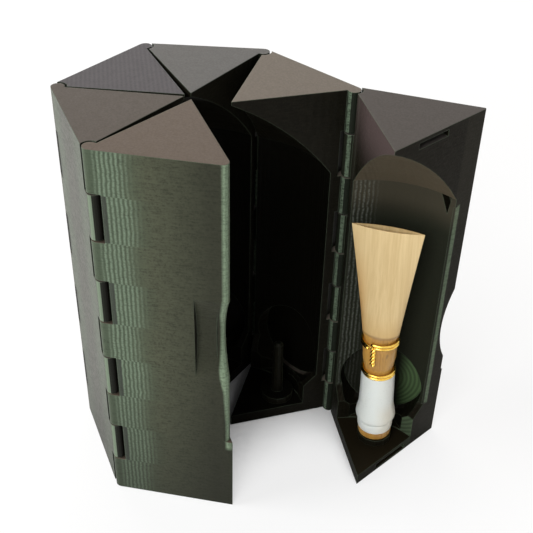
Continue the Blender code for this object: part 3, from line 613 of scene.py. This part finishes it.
def sleeve_material():
    """Smooth white plastic, a little uneven, with beige painted shade on its right side low down."""
    r = Recipe("sleeve_white")
    local = r.coords()
    x, _, z = r.split(local)
    cloud = r.noise(local, 0.18, 2.0)
    fine = r.noise(local, 2.5, 3.0)
    white = r.mix(cloud, (0.76, 0.80, 0.76), (0.82, 0.85, 0.81))
    # painted shade, beige, on the right side low down
    shade = r.times(r.span(x, 0.4, 3.4), r.span(z, 11.0, 8.0, 0.35, 1.0))
    r.colour(r.lay(white, shade, (0.76, 0.70, 0.56, 0.7)))
    r.rough(r.span(fine, 0.3, 0.7, 0.26, 0.36))
    r.shader.inputs["Subsurface Weight"].default_value = 0.15
    r.shader.inputs["Subsurface Radius"].default_value = (0.9, 0.8, 0.7)
    r.shader.inputs["Subsurface Scale"].default_value = MM
    r.bump(r.math("MULTIPLY_ADD", fine, 0.3, cloud), 0.05)
    return r.material


def brass_material():
    r = Recipe("wire_gold")
    local = r.coords()
    tarnish = r.noise(local, 0.9, 3.0)
    scratch = r.noise(local, 9.0, 2.0)
    r.colour(r.mix(r.span(tarnish, 0.35, 0.7), (0.95, 0.66, 0.14), (0.74, 0.45, 0.08)))
    r.rough(r.span(scratch, 0.3, 0.7, 0.14, 0.28))
    r.shader.inputs["Metallic"].default_value = 1.0
    r.bump(scratch, 0.006)
    return r.material


# ---- mesh code
SHARP_ANGLE = math.radians(38)


def show(obj):
    bpy.context.scene.collection.objects.link(obj)
    return obj


def mesh_object(name, rings, closed=False):
    """Loft through rings of points. A closed loft runs round to its first ring again."""
    bm = bmesh.new()
    loops = [[bm.verts.new([c * MM for c in point]) for point in ring] for ring in rings]
    pairs = list(zip(loops, loops[1:]))
    if closed:
        pairs.append((loops[-1], loops[0]))
    else:
        bm.faces.new(loops[0])
        bm.faces.new(loops[-1])
    for lower, upper in pairs:
        for i in range(len(lower)):
            j = (i + 1) % len(lower)
            bm.faces.new((lower[i], lower[j], upper[j], upper[i]))
    bmesh.ops.recalc_face_normals(bm, faces=bm.faces[:])
    mesh = bpy.data.meshes.new(name)
    bm.to_mesh(mesh)
    bm.free()
    obj = show(bpy.data.objects.new(name, mesh))
    mesh.shade_smooth()
    mesh.set_sharp_from_angle(angle=SHARP_ANGLE)
    return obj


def table_value(table, z):
    """Value of a table of (height, value) at a height, straight between its rows."""
    if z <= table[0][0]:
        return table[0][1]
    for (a, va), (b, vb) in zip(table, table[1:]):
        if z <= b:
            t = (z - a) / (b - a)
            return va + (vb - va) * t
    return table[-1][1]


def reed_outer(z):
    """Half width, half depth and section power (0.5 is an ellipse) of the reed's outside at a height."""
    if z <= SHOULDER:
        return table_value(TUBE_WIDTH, z), table_value(TUBE_DEPTH, z), 0.5
    share = (z - SHOULDER) / (REED_LENGTH - SHOULDER)
    step = 0.16 * min(1.0, (z - SHOULDER) / 0.45)
    width = 4.0 + 3.3 * share ** 1.05
    depth = 3.0 - 2.0 * share ** 0.7 - step * (1 - share)
    return width, depth, 0.5 + 0.42 * min(1.0, 1.25 * share)


def reed_inner(z):
    """Half width, half depth and section power of the bore and of the space between the blades."""
    width, depth, power = reed_outer(z)
    if z <= BORE_TOP:
        return BORE_RADIUS, BORE_RADIUS, 0.5
    share = (z - BORE_TOP) / (REED_LENGTH - BORE_TOP)
    eased = share * share * (3 - 2 * share)
    wall = 1.15 - 1.0 * eased
    inner_width = BORE_RADIUS + (width - 0.32 - BORE_RADIUS) * eased
    inner_depth = min(depth - wall, BORE_RADIUS + (depth - BORE_RADIUS) * eased)
    return inner_width, inner_depth, 0.5 + (power - 0.5) * eased


def reed_ring(z, section, seam=0.0):
    """Ring of points at a height, with a notch this deep where the two halves of the cane meet."""
    width, depth, power = section
    ring = []
    for i in range(REED_AROUND):
        a = 2 * math.pi * i / REED_AROUND
        c, s = math.cos(a), math.sin(a)
        notch = 1.0 - seam * math.exp(-((s / 0.045) ** 2))
        ring.append((width * c * notch, depth * math.copysign(abs(s) ** (2 * power), s), z))
    return ring


def make_cane():
    outer_heights = [0.0, 0.12, 0.4, 0.78] + [0.8 + 0.6 * i for i in range(26)]
    z = 16.4
    while z < REED_LENGTH - 0.35:
        outer_heights.append(z)
        z += 0.3 if z < 30.5 else 0.6
    outer_heights += [REED_LENGTH - 0.3, REED_LENGTH - 0.08]
    rings = []
    for z in outer_heights:
        section = reed_outer(z)
        if z == 0.0:
            section = (section[0] - 0.12, section[1] - 0.12, 0.5)
        seam = 0.035 * min(1.0, (REED_LENGTH - z) / (REED_LENGTH - SHOULDER))
        rings.append(reed_ring(z, section, seam))
    width, depth, power = reed_outer(REED_LENGTH)
    rings.append(reed_ring(REED_LENGTH, (width - 0.05, depth - 0.04, power)))
    inner_heights = [0.0, 5.0, 12.0, BORE_TOP] + [21 + 1.2 * i for i in range(28)]
    inner_heights += [REED_LENGTH - 0.1, REED_LENGTH]
    for z in reversed(inner_heights):
        rings.append(reed_ring(z, reed_inner(z)))
    return mesh_object("reed_cane_fine", rings, closed=True)


def make_sleeve():
    turns = [2 * math.pi * i / REED_AROUND for i in range(REED_AROUND)]
    rings = [[(r * math.cos(a), r * math.sin(a), z) for a in turns] for r, z in SLEEVE_PROFILE]
    return mesh_object("reed_sleeve_fine", rings, closed=True)


def tube(name, points, radius, sides=14):
    """Round wire through points, as a mesh with narrowed ends."""
    points = [Vector(point) for point in points]
    last = len(points) - 1
    tangents = [(points[min(last, i + 1)] - points[max(0, i - 1)]).normalized() for i in range(last + 1)]
    side = tangents[0].orthogonal().normalized()
    sections = []
    for point, tangent in zip(points, tangents):
        side = (side - tangent * side.dot(tangent)).normalized()
        sections.append((point, tangent, side.copy(), radius))

    def narrowed(section, way):
        point, tangent, side, _ = section
        return point + tangent * way * radius * 0.6, tangent, side, radius * 0.55

    rings = []
    sections = [narrowed(sections[0], -1), *sections, narrowed(sections[-1], 1)]
    for centre, tangent, side, reach in sections:
        up = tangent.cross(side)
        rings.append([
            tuple(centre + (side * math.cos(a) + up * math.sin(a)) * reach)
            for a in (2 * math.pi * k / sides for k in range(sides))
        ])
    return mesh_object(name, rings)


def wound(z_top, start):
    """Points of a wire that lies on the reed's outside and winds down round it."""
    points = []
    for i in range(int(WIRE_TURNS * STEPS_PER_TURN) + 1):
        t = i / STEPS_PER_TURN
        z = z_top - WIRE_PITCH * t
        width, depth, _ = reed_outer(z)
        a = start + 2 * math.pi * t
        out = WIRE_RADIUS + 0.03
        points.append(((width + out) * math.cos(a), (depth + out) * math.sin(a), z))
    return points


def twist(root, direction, length, turns):
    """Two strands laid round each other from a root point, as two lists of points."""
    root, direction = Vector(root), Vector(direction).normalized()
    side = direction.orthogonal().normalized()
    up = direction.cross(side)
    strands = ([], [])
    for i in range(TWIST_STEPS + 1):
        t = i / TWIST_STEPS
        spot = root + direction * length * t
        for k, strand in enumerate(strands):
            a = 2 * math.pi * turns * t + math.pi * k
            strand.append(tuple(spot + (side * math.cos(a) + up * math.sin(a)) * TWIST_SPREAD))
    return strands


def make_first_wire():
    """Two close turns, and the wire's ends twisted together and hanging down in front."""
    front = math.radians(-100)
    pieces = [tube("reed_first_wire_turns", wound(FIRST_WIRE_TOP, front - 0.12), WIRE_RADIUS)]
    width, depth, _ = reed_outer(26.9)
    root = ((width + 0.62) * math.cos(front), (depth + 0.62) * math.sin(front), TWIST_LEVEL)
    for mark, strand in zip("ab", twist(root, (0.02, -0.14, -1.0), 4.3, 2.3)):
        pieces.append(tube("reed_first_wire_twist_" + mark, strand, WIRE_RADIUS * 0.95, 12))
    return pieces


def make_second_wire():
    return tube("reed_second_wire_turns", wound(SECOND_WIRE_TOP, math.radians(70)), WIRE_RADIUS)


def dress(obj, material):
    obj.data.materials.clear()
    obj.data.materials.append(material)


def settle(obj, node_names, material, body="reed"):
    """Put a piece where it sits on the reed, instead of these nodes of the frame."""
    obj.matrix_world = REED_FRAME
    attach(obj, body)
    if node_names:
        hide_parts(*node_names)
    dress(obj, material)


# ---- the case
for segment, settings in SEGMENTS.items():
    plastic = Plastic(segment, *settings).material
    dress(nodes[segment + "_shell"], plastic)
    dress(nodes[segment + "_peg"], plastic)
steel = brushed_metal("pin_drawn", (0.36, 0.36, 0.37), (0.56, 0.56, 0.57), 0.3)
coating = brushed_metal("magnet_coating", (0.010, 0.009, 0.007), (0.020, 0.018, 0.014), 0.6)
for name, node in nodes.items():
    if name.endswith("_pin"):
        dress(node, steel)
    if name.endswith("_magnet"):
        dress(node, coating)

# ---- the reed
brass = brass_material()
settle(make_cane(), ["reed_cane"], cane_material())
settle(make_sleeve(), ["reed_sleeve"], sleeve_material())
turns, *strands = make_first_wire()
settle(turns, ["reed_first_wire"], brass)
for strand in strands:
    settle(strand, [], brass)
settle(make_second_wire(), ["reed_second_wire"], brass)


# ---- studio, in metres
CASE_MIDDLE = Vector((0.005, -0.025, 0.04))


def lamp(name, azimuth, elevation, distance, size, power, tint=WHITE):
    """Square area lamp that looks at the case from a direction, with its azimuth counted from +X."""
    data = bpy.data.lights.new(name, "AREA")
    data.energy = power
    data.size = size
    data.color = tint
    obj = show(bpy.data.objects.new(name, data))
    a, e = math.radians(azimuth), math.radians(elevation)
    offset = Vector((math.cos(a) * math.cos(e), math.sin(a) * math.cos(e), math.sin(e))) * distance
    obj.location = CASE_MIDDLE + offset
    obj.rotation_euler = (-offset).to_track_quat("-Z", "Y").to_euler()


lamp("key", 132, 28, 0.9, 0.5, 8.0)
lamp("front", 190, 34, 0.9, 0.45, 5.0)
lamp("back", 50, 42, 1.0, 0.8, 4.0, (1.0, 0.92, 0.84))
lamp("side", 355, 32, 1.0, 0.5, 3.0)

# the world is white where it is seen, reflected or looked at through something, and dim as a light
world = bpy.data.worlds.new("studio")
bpy.context.scene.world = world
world.use_nodes = True
tree = world.node_tree
tree.nodes.clear()
path = tree.nodes.new("ShaderNodeLightPath")
seen = path.outputs["Is Camera Ray"]
for ray in ("Is Glossy Ray", "Is Transmission Ray"):
    either = tree.nodes.new("ShaderNodeMath")
    either.operation = "MAXIMUM"
    tree.links.new(seen, either.inputs[0])
    tree.links.new(path.outputs[ray], either.inputs[1])
    seen = either.outputs[0]
backdrop = tree.nodes.new("ShaderNodeMixShader")
tree.links.new(seen, backdrop.inputs[0])
for slot, tint, strength in ((1, (0.95, 0.97, 1.0), 0.12), (2, WHITE, 1.0)):
    light = tree.nodes.new("ShaderNodeBackground")
    light.inputs["Color"].default_value = (*tint, 1.0)
    light.inputs["Strength"].default_value = strength
    tree.links.new(light.outputs[0], backdrop.inputs[slot])
output = tree.nodes.new("ShaderNodeOutputWorld")
tree.links.new(backdrop.outputs[0], output.inputs["Surface"])

# the floor: pale paper that glows a little to the camera, with painted shade where it lies deep between
# two segments
FLOOR_REACH = 4.0
FLOOR_DROP = 0.0002
FLOOR_GLOW = 0.75
DEEP_SHADE = (0.18, 0.34)
paper = Recipe("floor_paper")
paper.colour(paper.mix(paper.noise(paper.coords(), 0.02, 3.0), (0.90, 0.90, 0.90), (0.93, 0.93, 0.93)))
paper.shader.inputs["Roughness"].default_value = 0.9
glow = paper.add("ShaderNodeEmission")
glow.inputs["Strength"].default_value = 1.0
openness = paper.add("ShaderNodeAmbientOcclusion", samples=16)
openness.inputs["Distance"].default_value = 100 * MM
share = paper.times(paper.add("ShaderNodeLightPath").outputs["Is Camera Ray"], FLOOR_GLOW,
                    paper.span(openness.outputs["AO"], *DEEP_SHADE))
blend = paper.add("ShaderNodeMixShader")
for socket, value in zip(blend.inputs, (share, paper.shader.outputs[0], glow.outputs[0])):
    paper.feed(socket, value)
paper.feed(paper.output.inputs["Surface"], blend.outputs[0])
floor_mesh = bpy.data.meshes.new("floor")
corners = [(x * FLOOR_REACH, y * FLOOR_REACH, 0) for x, y in ((-1, -1), (1, -1), (1, 1), (-1, 1))]
floor_mesh.from_pydata(corners, [], [(0, 1, 2, 3)])
floor = show(bpy.data.objects.new("floor", floor_mesh))
dress(floor, paper.material)
floor.location.z = -FLOOR_DROP

# the camera, fitted to the photo's straight edges
camera_data = bpy.data.cameras.new("camera")
camera_data.lens = 61.6805
camera_data.sensor_width = 36
camera_data.shift_x = -0.0153674
camera_data.shift_y = -0.0721968
camera_data.clip_start = 0.01
camera = show(bpy.data.objects.new("camera", camera_data))
camera.matrix_world = Matrix((
    (0.5794949, 0.447276, -0.6812707, -0.1176531),
    (-0.8145332, 0.3454153, -0.466073, -0.1165381),
    (0.0268581, 0.8250045, 0.5644875, 0.1605289),
    (0.0, 0.0, 0.0, 1.0),
))
bpy.context.scene.camera = camera
bpy.context.scene.view_settings.view_transform = "Standard"
